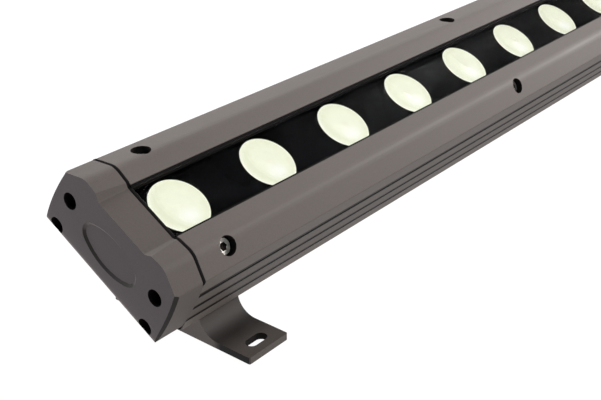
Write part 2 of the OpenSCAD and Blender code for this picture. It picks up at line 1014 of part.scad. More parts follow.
// Profile of a bracket: y is measured from the hinge axis and z from the mounting surface
module bracket_profile() {
    front = -hinge_back - foot_front;
    rear = foot_rear - hinge_back;
    difference() {
        union() {
            translate([front, 0])
                square([rear - front, foot_t]);
            polygon([
                [wall_y, 0],
                [wall_y, wall_z],
                [ramp_top_y, ramp_top_z],
                [ramp_top_y, saddle_top],
                [saddle_rear, saddle_top],
                [saddle_rear, 0]
            ]);
            difference() {
                translate([wall_y - sweep_r, foot_t - over])
                    square([sweep_r + over, sweep_r + over]);
                translate([wall_y - sweep_r, foot_t + sweep_r])
                    circle(r = sweep_r);
            }
            difference() {
                translate([saddle_rear - over, foot_t - over])
                    square([rear_fillet + over, rear_fillet + over]);
                translate([saddle_rear + rear_fillet, foot_t + rear_fillet])
                    circle(r = rear_fillet);
            }
        }
        polygon([
            [window_front_y, foot_t + bracket_wall / 2],
            [window_rear_y, foot_t + bracket_wall / 2],
            [window_rear_y, ramp_height(window_rear_y) - bracket_wall / cos(tilt)],
            [window_front_y, ramp_height(window_front_y) - bracket_wall / cos(tilt)]
        ]);
    }
}

// Height of the sloped stop above the mounting surface
function ramp_height(y) = hinge_height + ramp_dist / cos(tilt) + y * tan(tilt);

// Knuckle that stands on the saddle between the ears of the hinge block
module knuckle() {
    difference() {
        along_bar(knuckle_w) {
            translate([0, hinge_height])
                circle(r = axis_r);
            polygon([
                [-saddle_rear, saddle_top - over],
                [saddle_rear, saddle_top - over],
                [saddle_rear, saddle_top],
                [axis_r, hinge_height],
                [-axis_r, hinge_height],
                [-saddle_rear, saddle_top]
            ]);
        }
        translate([-knuckle_w, 0, hinge_height])
            rod(hinge_bolt_d / 2 + hinge_gap, 2 * knuckle_w);
    }
}

// Foot plan with small rounded upright corners
module bracket_plan() {
    r = bracket_corner_r;
    front = -hinge_back - foot_front;
    rear = foot_rear - hinge_back;
    translate([-bracket_w / 2 + r, front])
        square([bracket_w - 2 * r, rear - front]);
    translate([-bracket_w / 2, front + r])
        square([bracket_w, rear - front - 2 * r]);
    for (x = [-1, 1])
        for (y = [front + r, rear - r])
            translate([x * (bracket_w / 2 - r), y])
                circle(r = r, $fn = 32);
}

// Slot with round ends, centred at the origin and running along X
module slot_cut() {
    long = slot_len - slot_w;
    translate([-long / 2, -slot_w / 2, -over])
        cube([long, slot_w, foot_t + 2 * over]);
    for (side = [-1, 1])
        translate([side * long / 2, 0, -over])
            cylinder(d = slot_w, h = foot_t + 2 * over);
}

module bracket() {
    translate([0, hinge_back, 0])
        difference() {
            union() {
                intersection() {
                    along_bar(bracket_w)
                        bracket_profile();
                    linear_extrude(height = hinge_height + axis_r)
                        bracket_plan();
                }
                knuckle();
            }
            for (side = [-1, 1])
                translate([0, side * slot_spacing / 2 - hinge_back, 0])
                    slot_cut();
        }
}

module bracket_left() {
    color([0.35, 0.33, 0.31])
        translate([-bracket_x, 0, 0])
            bracket();
}

module bracket_right() {
    color([0.35, 0.33, 0.31])
        translate([bracket_x, 0, 0])
            bracket();
}

// Frame at the hinge of a bracket on the bar: x along the bar, z up to the underside
module at_hinge(side) {
    place_bar()
        translate([side * bracket_x, 0, -side_drop - hinge_drop])
            children();
}

// Block under the bar with two ears round the knuckle
module hinge_block() {
    head_r = screw_d;
    difference() {
        union() {
            translate([-block_len / 2, -block_half, hinge_drop - block_t])
                cube([block_len, 2 * block_half, block_t]);
            for (side = [-1, 1])
                translate([side * (ear_outer - ear_w / 2), 0, 0]) {
                    along_bar(ear_w)
                        circle(r = axis_r);
                    translate([-ear_w / 2, -axis_r, 0])
                        cube([ear_w, 2 * axis_r, hinge_drop - block_t / 2]);
                }
        }
        translate([-block_len, 0, 0])
            rod(hinge_bolt_d / 2 + hole_gap, 2 * block_len);
        for (side = [-1, 1])
            translate([side * block_screw_x, 0, hinge_drop - block_t]) {
                translate([0, 0, -over])
                    cylinder(r = screw_d / 2 + hole_gap, h = block_t + 2 * over);
                cylinder(r1 = head_r + block_sink_gap, r2 = screw_d / 2 + block_sink_gap, h = screw_d / 2);
            }
    }
}

module hinge_block_left() {
    color([0.35, 0.33, 0.31])
        at_hinge(-1)
            hinge_block();
}

module hinge_block_right() {
    color([0.35, 0.33, 0.31])
        at_hinge(1)
            hinge_block();
}

module hinge_bolts() {
    shank = 2 * ear_outer + 2 * washer_t + nut_t + bolt_past;
    color("silver")
        for (side = [-1, 1])
            at_hinge(side)
                translate([-ear_outer - washer_t, 0, 0])
                    socket_screw(hinge_bolt_d, shank, bolt_head_r, bolt_head_h, bolt_socket, bolt_head_h / 2);
}

module hinge_washers() {
    color("silver")
        for (side = [-1, 1])
            at_hinge(side)
                for (x = [-ear_outer - washer_t, ear_outer])
                    translate([x, 0, 0])
                        difference() {
                            rod(washer_r, washer_t);
                            translate([-over, 0, 0])
                                rod(hinge_bolt_d / 2 + hole_gap, washer_t + 2 * over);
                        }
}

module hinge_nuts() {
    color("silver")
        for (side = [-1, 1])
            at_hinge(side)
                translate([ear_outer + washer_t, 0, 0])
                    difference() {
                        hexagon(nut_flats, nut_t);
                        translate([-over, 0, 0])
                            rod(hinge_bolt_d / 2 + hinge_gap, nut_t + 2 * over);
                    }
}

// Countersunk screws, flush with the underside of the hinge blocks
module block_screws() {
    color("silver")
        for (side = [-1, 1])
            at_hinge(side)
                for (end = [-1, 1])
                    translate([end * block_screw_x, 0, hinge_drop - block_t])
                        difference() {
                            union() {
                                cylinder(r1 = screw_d, r2 = screw_d / 2, h = screw_d / 2);
                                cylinder(r = screw_d / 2, h = block_screw_len);
                            }
                            translate([0, 0, -over])
                                cylinder(d = screw_d * block_socket_share, h = over + screw_d * block_socket_deep, $fn = 6);
                        }
}

// Square nuts in the slot along the underside
module slot_nuts() {
    color("silver")
        for (side = [-1, 1])
            at_hinge(side)
                for (end = [-1, 1])
                    translate([end * block_screw_x, 0, hinge_drop + nut_slot_lip])
                        difference() {
                            translate([-slot_nut_w / 2, -slot_nut_w / 2, 0])
                                cube([slot_nut_w, slot_nut_w, slot_nut_t]);
                            translate([0, 0, -over])
                                cylinder(r = screw_d / 2 + hinge_gap, h = slot_nut_t + 2 * over);
                        }
}

housing();
front_rail_near();
front_rail_far();
glass_cover();
glass_gaskets();
lens_plate();
lenses();
led_board();
leds();
driver_board();
driver_standoffs();
driver_parts();
end_cap_left();
end_cap_right();
end_gasket_left();
end_gasket_right();
cap_screws_left();
cap_screws_right();
rail_screws_near();
rail_screws_far();
gland_body();
gland_nut();
gland_seal();
gland_lock_nut();
bracket_left();
bracket_right();
hinge_block_left();
hinge_block_right();
hinge_bolts();
hinge_washers();
hinge_nuts();
block_screws();
slot_nuts();
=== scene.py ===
import math

import bmesh
import bpy
from mathutils import Matrix, Vector


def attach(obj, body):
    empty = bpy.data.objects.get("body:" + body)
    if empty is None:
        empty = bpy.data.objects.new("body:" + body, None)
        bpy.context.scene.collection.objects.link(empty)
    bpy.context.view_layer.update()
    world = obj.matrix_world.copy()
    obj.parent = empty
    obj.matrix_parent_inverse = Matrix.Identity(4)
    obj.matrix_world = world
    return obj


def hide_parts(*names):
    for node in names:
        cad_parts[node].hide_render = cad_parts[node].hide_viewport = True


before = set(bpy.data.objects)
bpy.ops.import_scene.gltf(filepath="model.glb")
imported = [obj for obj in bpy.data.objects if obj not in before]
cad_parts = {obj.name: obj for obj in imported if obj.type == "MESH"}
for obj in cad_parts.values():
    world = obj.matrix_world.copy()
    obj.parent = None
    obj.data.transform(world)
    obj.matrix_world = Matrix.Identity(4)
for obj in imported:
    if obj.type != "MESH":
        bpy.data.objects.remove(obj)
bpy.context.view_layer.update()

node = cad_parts
scene = bpy.context.scene


# ---- Camera -----------------------------------------------------------------
# The photograph's view: a long lens just above the bar, seen from its low near-left end.
# The place and angle come from matching the bar's seams, lenses and foot to the picture.
camera_tip = math.radians(63.611)
camera_turn = math.radians(-50.908)
camera = bpy.data.objects.new("camera", bpy.data.cameras.new("camera"))
scene.collection.objects.link(camera)
camera.data.sensor_width = 36.0
camera.data.lens = 63.65
camera.data.clip_start = 0.01
camera.location = (-0.73493, -0.28145, 0.25134)
camera.rotation_euler = (camera_tip, 0, camera_turn)
scene.camera = camera
scene.view_settings.view_transform = "Standard"


# ---- Light table and soft boxes ---------------------------------------------
# The bar stands on a white light table, so hardly any shadow shows under it. Two soft boxes
# hang behind it, two in front and one past its near end, clear of what the glass mirrors.
table_size = 30
table_drop = 0.0002
white = (1, 1, 1)
warm_white = (1, 0.96, 0.945)
bar_middle = (-0.1, 0, 0)
near_foot = (-0.4, 0, 0)
soft_boxes = [
    # name, place, aimed at, width, height, watts, colour
    ("rear_near_box", (-0.4, 0.95, 1.15), bar_middle, 0.7, 0.9, 18, white),
    ("rear_far_box", (1.05, 0.93, 1.13), bar_middle, 2.2, 0.9, 33, white),
    ("front_box", (1.75, -1.0, 1.0), bar_middle, 0.9, 0.8, 108, warm_white),
    ("front_near_box", (-0.6, -1.2, 1.1), near_foot, 0.6, 0.6, 12, white),
    ("near_end_box", (-1.4, 1.1, 0.45), near_foot, 0.7, 0.7, 17, white),
]


def wire_up(finish, part, settings):
    for socket, value in settings.items():
        if isinstance(value, bpy.types.NodeSocket):
            finish.node_tree.links.new(value, part.inputs[socket])
        else:
            part.inputs[socket].default_value = value


def set_shader(finish, settings):
    wire_up(finish, finish.node_tree.nodes["Principled BSDF"], settings)


def new_finish(name, settings):
    finish = bpy.data.materials.new(name)
    finish.use_nodes = True
    set_shader(finish, settings)
    return finish


bpy.ops.mesh.primitive_plane_add(size=table_size, location=(0, 0, -table_drop))
floor = bpy.context.object
floor.name = "floor"
floor.data.materials.append(new_finish("light_table", {
    "Base Color": (0.06, 0.06, 0.06, 1),
    "Roughness": 0.9,
    "Specular IOR Level": 0.0,
    "Emission Color": (1, 1, 1, 1),
    "Emission Strength": 0.97,
}))

for name, place, target, width, height, watts, colour in soft_boxes:
    lamp = bpy.data.lights.new(name, "AREA")
    lamp.shape = "RECTANGLE"
    lamp.size = width
    lamp.size_y = height
    lamp.energy = watts
    lamp.color = colour
    box = bpy.data.objects.new(name, lamp)
    box.location = place
    box.rotation_euler = (Vector(target) - Vector(place)).to_track_quat("-Z", "Y").to_euler()
    scene.collection.objects.link(box)

world = bpy.data.worlds.new("studio")
scene.world = world
world.use_nodes = True
studio_fill = world.node_tree.nodes["Background"]
studio_fill.inputs["Color"].default_value = (1, 1, 1, 1)
studio_fill.inputs["Strength"].default_value = 0.02


# ---- Lower extrusion --------------------------------------------------------
# The body of the bar is one aluminium extrusion with three grooves along each side.
# It wears a fine-grained powder coat, a warm bronze grey that is a little uneven in tone.
mix_share, mix_under, mix_over = 0, 6, 7
mix_result = 2


def add_step(finish, kind, settings):
    step = finish.node_tree.nodes.new(kind)
    wire_up(finish, step, settings)
    return step


def own_place(finish, measure="Object"):
    return finish.node_tree.nodes.new("ShaderNodeTexCoord").outputs[measure]


def blotches(finish, scale, detail):
    settings = {"Vector": own_place(finish), "Scale": scale, "Detail": detail}
    return add_step(finish, "ShaderNodeTexNoise", settings).outputs["Fac"]


def spread(finish, value, low, high, start=0, end=1, slope="LINEAR"):
    span = add_step(finish, "ShaderNodeMapRange", {
        "Value": value, "From Min": start, "From Max": end, "To Min": low, "To Max": high,
    })
    span.interpolation_type = slope
    return span.outputs["Result"]


def laid_over(finish, how, share, under, over):
    mix = finish.node_tree.nodes.new("ShaderNodeMix")
    mix.data_type = "RGBA"
    mix.blend_type = how
    wire_up(finish, mix, {mix_share: share, mix_under: under, mix_over: over})
    return mix.outputs[mix_result]


def relief(finish, pattern, strength, height):
    settings = {"Height": pattern, "Strength": strength, "Distance": height}
    return add_step(finish, "ShaderNodeBump", settings).outputs["Normal"]


def powder_coat(name, dark, light, smooth, rough, shine=0.16):
    coat = new_finish(name, {"Specular IOR Level": shine})
    clouds = blotches(coat, scale=26, detail=5)
    tint = laid_over(coat, "MIX", clouds, (*dark, 1), (*light, 1))
    fine_grain = blotches(coat, scale=1900, detail=3)
    speckle = spread(coat, fine_grain, 0.93, 1.07, start=0.3, end=0.7)
    orange_peel = blotches(coat, scale=900, detail=3)
    set_shader(coat, {
        "Base Color": laid_over(coat, "MULTIPLY", 1, tint, speckle),
        "Roughness": spread(coat, clouds, smooth, rough),
        "Normal": relief(coat, orange_peel, strength=0.22, height=0.00012),
    })
    return coat


def tone_coat(coat, share, tone):
    shader = coat.node_tree.nodes["Principled BSDF"]
    colour = shader.inputs["Base Color"].links[0].from_socket
    set_shader(coat, {"Base Color": laid_over(coat, "MULTIPLY", share, colour, tone)})


def tone_ramp(finish, value, stops, slope="LINEAR"):
    step = add_step(finish, "ShaderNodeValToRGB", {"Fac": value})
    ramp = step.color_ramp
    ramp.interpolation = slope
    ramp.elements[0].color = (*stops[0][1], 1)
    ramp.elements[-1].color = (*stops[-1][1], 1)
    for position, colour in stops[1:-1]:
        ramp.elements.new(position).color = (*colour, 1)
    return step.outputs["Color"]


def grey(shade):
    return (shade, shade, shade)


def dress(piece, material):
    piece.data.materials.clear()
    piece.data.materials.append(material)


def soften(piece, width, angle=28, segments=3):
    weld = piece.modifiers.new("weld", "WELD")
    weld.merge_threshold = 0.00001
    rounding = piece.modifiers.new("edge_rounding", "BEVEL")
    rounding.width = width
    rounding.segments = segments
    rounding.limit_method = "ANGLE"
    rounding.angle_limit = math.radians(angle)
    rounding.use_clamp_overlap = True
    rounding.harden_normals = True
    normals = piece.modifiers.new("even_shading", "WEIGHTED_NORMAL")
    normals.keep_sharp = False


# The bar's own frame: its zero lies under the glass, at the middle of its length and width.
tilt = math.radians(30.75)
hinge_y = 0.0195
hinge_z = 0.0237
bar_above_hinge = 0.0411
bar_place = (
    Matrix.Translation((0, hinge_y, hinge_z))
    @ Matrix.Rotation(tilt, 4, "X")
    @ Matrix.Translation((0, 0, bar_above_hinge))
)
bar_place_back = bar_place.inverted()
bar_turn_back = bar_place_back.to_3x3()
up_the_bar = (0, -math.sin(tilt), math.cos(tilt))
bar_zero_up = hinge_z * math.cos(tilt) - hinge_y * math.sin(tilt) + bar_above_hinge


def measure_up_the_bar(finish, direction):
    dot = add_step(finish, "ShaderNodeVectorMath", {0: direction, 1: up_the_bar})
    dot.operation = "DOT_PRODUCT"
    return dot.outputs["Value"]


# Height in the bar's own frame and the coat's tone there, from the lower edge to the glass.
# Painted shade darkens the grooves, and painted light brightens the bands between them.
painted_groove_light_and_shade = [
    (-0.0332, 1.25), (-0.0268, 1.25),
    (-0.0265, 0.08), (-0.0246, 0.08),
    (-0.0243, 1.0), (-0.0193, 1.0),
    (-0.019, 0.02), (-0.017, 0.02),
    (-0.0167, 1.05), (-0.0114, 1.05),
    (-0.011, 0.02), (-0.0083, 0.02),
    (-0.0079, 1.2), (-0.001, 1.2),
    (0, 1.0),
]


# Painted shade in the grooves and painted light on the bands, by height up the bar.
def paint_groove_light_and_shade(coat):
    lowest = painted_groove_light_and_shade[0][0]
    highest = painted_groove_light_and_shade[-1][0]
    height = measure_up_the_bar(coat, own_place(coat))
    climb = spread(coat, height, 0, 1, start=lowest + bar_zero_up, end=highest + bar_zero_up)
    stops = [(1 - drop / lowest, grey(shade)) for drop, shade in painted_groove_light_and_shade]
    tone_coat(coat, 1, tone_ramp(coat, climb, stops))


def paint_faces(piece, material, wanted):
    piece.data.materials.append(material)
    painted = len(piece.data.materials) - 1
    for face in piece.data.polygons:
        if wanted(bar_place_back @ face.center, bar_turn_back @ face.normal):
            face.material_index = painted


bronze_dark = (0.0668, 0.05648, 0.05121)
bronze_light = (0.0814, 0.07014, 0.06391)
bronze = powder_coat("bronze_powder_coat", bronze_dark, bronze_light, 0.52, 0.66)
groove_shaded_bronze = powder_coat("grooved_bronze_coat", bronze_dark, bronze_light, 0.52, 0.66)
paint_groove_light_and_shade(groove_shaded_bronze)
# Painted shadow: bores, groove floors, slots and the window rebate are coloured near black.
painted_recess_shadow = powder_coat(
    "painted_shadow_black", (0.0035, 0.003, 0.0028), (0.007, 0.006, 0.0055), 0.6, 0.75, shine=0.08)

groove_floors = [(-0.01015, 0.00062), (-0.0183, 0.00037), (-0.026, 0.00037)]
groove_inner_y = 0.03
bar_half_length = 0.4849


def in_side_groove(centre, normal):
    if abs(centre.y) <= groove_inner_y or abs(centre.x) >= bar_half_length:
        return False
    return any(abs(centre.z - level) < half_width for level, half_width in groove_floors)


dress(node["housing"], groove_shaded_bronze)
paint_faces(node["housing"], painted_recess_shadow, in_side_groove)
soften(node["housing"], width=0.0002)


# ---- Front rails ------------------------------------------------------------
# Two extruded rails clamp the glass on the bar from both sides, in the same coat as the body.
# Painted shadow blackens the screw counterbores, grooves and window rebate, and painted shade
# greys the window's inner wall.
rail_screw_first = -0.4675
rail_screw_pitch = 0.23375
rail_screw_count = 5
rail_screw_x = [rail_screw_first + rail_screw_pitch * i for i in range(rail_screw_count)]
rail_screw_y = 0.02754
rail_screw_z = 0.00449
flange_out = Vector((0, 0.547, 0.837))
counterbore_reach = 0.0045
counterbore_depth = 0.03
flange_skin = 0.0001
rebate_floor = 0.0042
rebate_top = 0.00525
rebate_half_width = 0.0153
window_half_width = 0.01445


def from_rail_screws(centre):
    for x in rail_screw_x:
        for side in (-1, 1):
            outwards = Vector((0, side * flange_out.y, flange_out.z))
            away = centre - Vector((x, side * rail_screw_y, rail_screw_z))
            along = away.dot(outwards)
            yield along, (away - along * outwards).length


def in_counterbore(centre):
    return any(
        -counterbore_depth < along < -flange_skin and across < counterbore_reach
        for along, across in from_rail_screws(centre)
    )


def in_window_rebate(centre):
    return abs(centre.y) < rebate_half_width and rebate_floor < centre.z < rebate_top


# Rail faces painted near black as shadow: counterbores, grooves and the window rebate.
def in_rail_painted_shadow(centre, normal):
    return in_counterbore(centre) or in_side_groove(centre, normal) or in_window_rebate(centre)


def on_window_lip(centre, normal):
    return abs(centre.y) < window_half_width and centre.z <= rebate_floor


# Painted shade: the window's inner wall under the rebate is coloured dark grey.
painted_wall_shade = powder_coat(
    "window_wall_painted_shade", (0.02, 0.0185, 0.017), (0.028, 0.026, 0.024), 0.5, 0.65, shine=0.15)
for name in ("front_rail_near", "front_rail_far"):
    dress(node[name], groove_shaded_bronze)
    paint_faces(node[name], painted_recess_shadow, in_rail_painted_shadow)
    paint_faces(node[name], painted_wall_shade, on_window_lip)
    soften(node[name], width=0.0002)


# ---- LED board and driver ---------------------------------------------------
# A white aluminium-core board with one LED under each lens, and a green driver board on steel
# spacers under the shelf with its transformers and capacitors. All is sealed inside the bar.
def fine_plastic(name, dark, light, smooth, rough, patch=60, grain=1500, height=0.00005):
    plastic = new_finish(name, {})
    patches = blotches(plastic, patch, detail=4)
    texture = blotches(plastic, grain, detail=3)
    set_shader(plastic, {
        "Base Color": laid_over(plastic, "MIX", patches, (*dark, 1), (*light, 1)),
        "Roughness": spread(plastic, patches, smooth, rough),
        "Normal": relief(plastic, texture, strength=0.25, height=height),
    })
    return plastic


def turned_steel(name, dark, light, smooth, rough):
    metal = fine_plastic(name, dark, light, smooth, rough, patch=700, grain=4200, height=0.00006)
    set_shader(metal, {"Metallic": 1})
    return metal


dress(node["led_board"], fine_plastic(
    "white_solder_mask", (0.68, 0.68, 0.64), (0.8, 0.8, 0.77), 0.35, 0.5))
dress(node["leds"], fine_plastic(
    "led_phosphor", (0.75, 0.58, 0.1), (0.9, 0.78, 0.25), 0.25, 0.45, patch=400))
dress(node["driver_board"], fine_plastic(
    "green_solder_mask", (0.01, 0.09, 0.035), (0.03, 0.16, 0.07), 0.3, 0.45, patch=250))
dress(node["driver_parts"], fine_plastic(
    "moulded_cases", (0.015, 0.015, 0.018), (0.035, 0.035, 0.04), 0.4, 0.6, patch=120))
steel = turned_steel("bright_stainless", (0.86, 0.83, 0.77), (0.98, 0.95, 0.9), 0.3, 0.46)
dress(node["driver_standoffs"], steel)


# ---- Lens plate -------------------------------------------------------------
# A glossy black plate lies on a ledge under the glass, with a round hole for each lens.
# It hides the board, so the window looks black between the lenses.
black_plate = fine_plastic(
    "glossy_black_plate", (0.003, 0.003, 0.004), (0.006, 0.006, 0.007), 0.12, 0.22,
    patch=40, grain=700, height=0.00002)
set_shader(black_plate, {"Specular IOR Level": 0.1})
dress(node["lens_plate"], black_plate)


# ---- Lenses -----------------------------------------------------------------
# Each collimator is moulded in clear acrylic. Lit from below, its face glows a pale greenish
# white, with a bright rim, a hot spot towards the low side and faint streaks at the outer end.
lens_count = 18
lens_first = -0.4675
lens_pitch = 0.055
lens_top = -0.00185
lens_sides = 96
lens_profile = [
    # radius and height, from the middle of the face over the rim to the seat of the LED
    (0.0, -0.0005),
    (0.0012, -0.00044),
    (0.0024, -0.0003),
    (0.0045, -0.00018),
    (0.0085, -0.0001),
    (0.0122, -0.00006),
    (0.0129, -0.00003),
    (0.0133, -0.00004),
    (0.0135, -0.0002),
    (0.0135, -0.0015),
    (0.0126, -0.0015),
    (0.0101, -0.0072),
    (0.0055, -0.01355),
    (0.0032, -0.01355),
    (0.0032, -0.0076),
    (0.0, -0.0065),
]


def reach_from(finish, centre, stretch):
    shift = add_step(finish, "ShaderNodeMapping", {
        "Vector": own_place(finish),
        "Location": [-middle * factor for middle, factor in zip(centre, stretch)],
        "Scale": stretch,
    })
    length = add_step(finish, "ShaderNodeVectorMath", {0: shift.outputs["Vector"]})
    length.operation = "LENGTH"
    return length.outputs["Value"]


lit = new_finish("lit_acrylic", {
    "Base Color": (0.03, 0.032, 0.028, 1),
    "Roughness": 0.25,
    "Emission Strength": 1.0,
})
over_face = reach_from(lit, centre=(0.001, 0, 0), stretch=(74, 74, 0))
face_glow = tone_ramp(lit, over_face, [
    (0.0, (0.96, 0.965, 0.785)),
    (0.5, (0.95, 0.97, 0.775)),
    (0.85, (0.91, 0.93, 0.725)),
    (0.95, (0.95, 0.97, 0.775)),
    (1.0, (1.02, 1.03, 0.87)),
], slope="EASE")
near_low_side = reach_from(lit, centre=(0.0005, -0.0062, 0), stretch=(120, 150, 0))
hot_spot = tone_ramp(lit, near_low_side, [
    (0.0, (0.1, 0.09, 0.2)),
    (1.0, (0, 0, 0)),
], slope="EASE")
near_outer_end = reach_from(lit, centre=(0.0045, 0.0015, 0), stretch=(70, 58, 0))
outer_streaks = tone_ramp(lit, near_outer_end, [
    (0.0, (0, 0, 0)),
    (0.74, (0, 0, 0)),
    (0.8, (0.035, 0.03, 0.03)),
    (0.86, (0.015, 0.013, 0.013)),
    (0.93, (0.06, 0.055, 0.055)),
    (1.0, (0.045, 0.04, 0.04)),
], slope="EASE")
mottle = tone_ramp(lit, blotches(lit, scale=330, detail=3), [
    (0.0, (0.955, 0.95, 0.94)),
    (1.0, (1.03, 1.03, 1.03)),
], slope="EASE")
glow = laid_over(lit, "ADD", 1, face_glow, hot_spot)
glow = laid_over(lit, "SUBTRACT", 1, glow, outer_streaks)
glow = laid_over(lit, "MULTIPLY", 1, glow, mottle)
set_shader(lit, {"Emission Color": glow})


def closed_mesh(name, shape):
    bmesh.ops.recalc_face_normals(shape, faces=shape.faces)
    mesh = bpy.data.meshes.new(name)
    shape.to_mesh(mesh)
    shape.free()
    return mesh


def turned(name, profile, sides):
    shape = bmesh.new()
    angles = [2 * math.pi * i / sides for i in range(sides)]
    rings = []
    for radius, height in profile:
        if radius == 0:
            rings.append([shape.verts.new((0, 0, height))])
            continue
        rings.append([
            shape.verts.new((radius * math.cos(angle), radius * math.sin(angle), height))
            for angle in angles
        ])
    for upper, lower in zip(rings, rings[1:]):
        for i in range(sides):
            j = (i + 1) % sides
            corners = [
                upper[i % len(upper)], lower[i % len(lower)],
                lower[j % len(lower)], upper[j % len(upper)],
            ]
            shape.faces.new(list(dict.fromkeys(corners))).smooth = True
    return closed_mesh(name, shape)


lens_mesh = turned("lens", lens_profile, lens_sides)
lens_mesh.materials.append(lit)
for i in range(lens_count):
    lens = bpy.data.objects.new(f"lens_{i + 1:02d}", lens_mesh)
    scene.collection.objects.link(lens)
    lens.matrix_world = bar_place @ Matrix.Translation((lens_first + i * lens_pitch, 0, lens_top))
    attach(lens, "light_bar")
    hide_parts("lenses")


# ---- Glass cover and its gaskets --------------------------------------------
# A clear tempered pane with a coating against reflections, lightly smeared from handling.
# The rails press it on the bar between two strips of black silicone.
glass = new_finish("clear_tempered_glass", {
    "Base Color": (0.97, 0.985, 0.975, 1),
    "IOR": 1.33,
    "Specular IOR Level": 0.2,
    "Transmission Weight": 1.0,
})
smears = blotches(glass, scale=14, detail=4)
set_shader(glass, {"Roughness": spread(glass, smears, 0, 0.03)})
dress(node["glass_cover"], glass)

silicone = fine_plastic(
    "black_silicone", (0.003, 0.003, 0.003), (0.007, 0.007, 0.007), 0.6, 0.8,
    patch=300, grain=2500, height=0.0001)
set_shader(silicone, {"Specular IOR Level": 0.02})
dress(node["glass_gaskets"], silicone)


# ---- Window lips and end dams -----------------------------------------------
# A black silicone lip sits in the rebate of each rail and stands a little into the window.
# A narrow dark grey dam closes the glass at both ends, just inside the end gaskets.
lip_half_length = 0.4848
lip_outline = [
    (0.01515, 0.00445), (0.0142, 0.0045), (0.0136, 0.0046), (0.0134, 0.0048),
    (0.01345, 0.00505), (0.0138, 0.00515), (0.01515, 0.00515),
]
dam_outline = [(-0.0142, 0.00125), (0.0142, 0.00125), (0.0142, 0.0039), (-0.0142, 0.0039)]
dam_outer_x = 0.4843
dam_inner_x = 0.4838


def lofted(name, rings, smooth):
    shape = bmesh.new()
    rings = [[shape.verts.new(corner) for corner in ring] for ring in rings]
    for ring, following in zip(rings, rings[1:]):
        for i in range(len(ring)):
            j = (i + 1) % len(ring)
            shape.faces.new([ring[i], ring[j], following[j], following[i]]).smooth = smooth
    shape.faces.new(rings[0])
    shape.faces.new(rings[-1])
    return closed_mesh(name, shape)


def drawn(name, outline, start, end):
    rings = [[(x, across, above) for across, above in outline] for x in (start, end)]
    return lofted(name, rings, smooth=False)


def fit_to_bar(mesh, material):
    mesh.transform(bar_place)
    mesh.materials.append(material)
    piece = bpy.data.objects.new(mesh.name, mesh)
    scene.collection.objects.link(piece)
    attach(piece, "light_bar")
    return piece


for name, side in (("window_lip_near", -1), ("window_lip_far", 1)):
    outline = [(side * across, above) for across, above in lip_outline]
    lip = fit_to_bar(drawn(name, outline, -lip_half_length, lip_half_length), silicone)
    soften(lip, width=0.00006)

dam_grey = fine_plastic(
    "dark_grey_silicone", (0.035, 0.033, 0.035), (0.055, 0.052, 0.055), 0.5, 0.7,
    patch=300, grain=2500, height=0.00008)
for name, end in (("end_dam_left", -1), ("end_dam_right", 1)):
    dam = fit_to_bar(drawn(name, dam_outline, end * dam_outer_x, end * dam_inner_x), dam_grey)
    soften(dam, width=0.0001)


# ---- Rail screws ------------------------------------------------------------
# Bright stainless socket screws sit deep in the counterbores of both rails.
# Turned heads leave fine rings in the steel, and painted shade darkens the socket in each head.
socket_reach = 0.0022


def in_screw_socket(centre, normal):
    return any(across < socket_reach for along, across in from_rail_screws(centre))


# Painted shade: the socket faces inside each head are coloured dark steel.
painted_socket_shade = turned_steel(
    "socket_painted_shade_steel", (0.05, 0.045, 0.04), (0.13, 0.12, 0.11), 0.22, 0.4)
for name in ("rail_screws_near", "rail_screws_far"):
    dress(node[name], steel)
    paint_faces(node[name], painted_socket_shade, in_screw_socket)
    soften(node[name], width=0.00035, angle=40, segments=2)


# ---- End gaskets ------------------------------------------------------------
# A flat silicone gasket closes each end of the extrusion, a little inside the outline.
# The cap screws squeeze it between the bar and the cap, which keeps the rain out.
for name in ("end_gasket_left", "end_gasket_right"):
    dress(node[name], silicone)


# ---- Seam lips --------------------------------------------------------------
# The gasket's upper lip is squeezed out of each seam as a thin black line of silicone.
# It runs from one long edge over the ridges and through the channel to the other edge.
seam_x = 0.48517
seam_half = [(0.03452, -0.0016), (0.0344, 0), (0.024, 0.0068), (0.0156, 0.00584), (0.014, 0.0045)]
seam_points = seam_half + [(-across, above) for across, above in reversed(seam_half)]
seam_radii = [0, 0.0009, 0.008, 0.0005, 0.0014, 0.0014, 0.0005, 0.008, 0.0009, 0]
corner_steps = 6
lip_section = [
    (-0.00078, -0.0006), (-0.00078, 0.00002), (-0.00055, 0.00012),
    (0.00055, 0.00012), (0.00078, 0.00002), (0.00078, -0.0006),
]


def rounded_path(points, radii):
    path = [Vector(points[0])]
    for before, corner, after, radius in zip(points, points[1:], points[2:], radii[1:]):
        corner = Vector(corner)
        to_before = (Vector(before) - corner).normalized()
        to_after = (Vector(after) - corner).normalized()
        half = to_before.angle(to_after) / 2
        middle = corner + (to_before + to_after).normalized() * radius / math.sin(half)
        first = corner + to_before * radius / math.tan(half) - middle
        last = corner + to_after * radius / math.tan(half) - middle
        for step in range(corner_steps + 1):
            path.append(middle + first.lerp(last, step / corner_steps).normalized() * radius)
    path.append(Vector(points[-1]))
    return path


def seam_rings(path, x):
    rings = []
    for i, point in enumerate(path):
        along = (path[min(i + 1, len(path) - 1)] - path[max(i - 1, 0)]).normalized()
        out = Vector((along.y, -along.x))
        rings.append([(x + across, *(point + out * rise)) for across, rise in lip_section])
    return rings


for name, end in (("seam_lip_left", -1), ("seam_lip_right", 1)):
    rings = seam_rings(rounded_path(seam_points, seam_radii), end * seam_x)
    fit_to_bar(lofted(name, rings, smooth=True), silicone)


